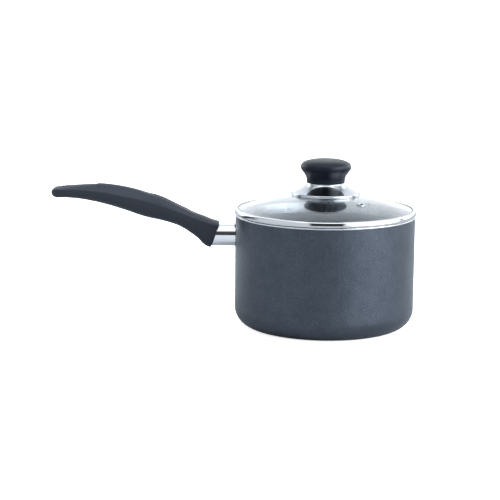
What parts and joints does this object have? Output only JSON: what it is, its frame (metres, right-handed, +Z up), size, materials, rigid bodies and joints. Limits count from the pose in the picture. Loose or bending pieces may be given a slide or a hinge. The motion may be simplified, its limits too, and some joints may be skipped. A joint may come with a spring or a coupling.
{
  "type": "saucepan with glass lid",
  "caption": "Deep saucepan with one long moulded handle, a bright flame guard, and a lift-off domed glass lid with a steel rim, a steam vent and a waisted knob.",
  "frame": {"origin": "centre of the pan's flat underside, on the surface that it stands on", "axes": "+Z up along the pan's axis, handle along -X, +Y completes a right-handed frame"},
  "size_m": [0.3924, 0.1958, 0.1811],
  "materials": {
    "pan_coating": "hard-anodised, dark satin with a fine speckle",
    "handle_black": "satin moulded phenolic",
    "knob_black": "satin moulded phenolic",
    "polished_steel": "polished",
    "pressed_steel": "plain pressed",
    "zinc_steel": "bright zinc",
    "stud_aluminium": "plain",
    "lid_glass": "clear tempered",
    "silicone": "matte",
    "clear_silicone": "matte",
    "insert_brass": "turned"
  },
  "bodies": {
    "pan": {"pan_body": "pan_coating", "weld_pins": "stud_aluminium", "handle_bracket": "pressed_steel", "bracket_nut": "zinc_steel", "flame_guard": "polished_steel", "handle_grip": "handle_black", "handle_screw": "zinc_steel", "handle_lock_washer": "zinc_steel"},
    "lid": {"lid_glass": "lid_glass", "lid_rim": "polished_steel", "rim_gasket": "clear_silicone", "vent_eyelet": "polished_steel", "vent_seal": "silicone", "knob": "knob_black", "knob_insert": "insert_brass", "knob_skirt": "polished_steel", "knob_gasket_top": "silicone", "knob_gasket_bottom": "silicone", "knob_washer": "zinc_steel", "knob_lock_washer": "zinc_steel", "knob_screw": "zinc_steel"}
  },
  "joints": [
    {"name": "lid_lift", "type": "slide", "parent": "pan", "child": "lid", "axis": [0, 0, 1], "range_m": [0, 0.16]}
  ]
}
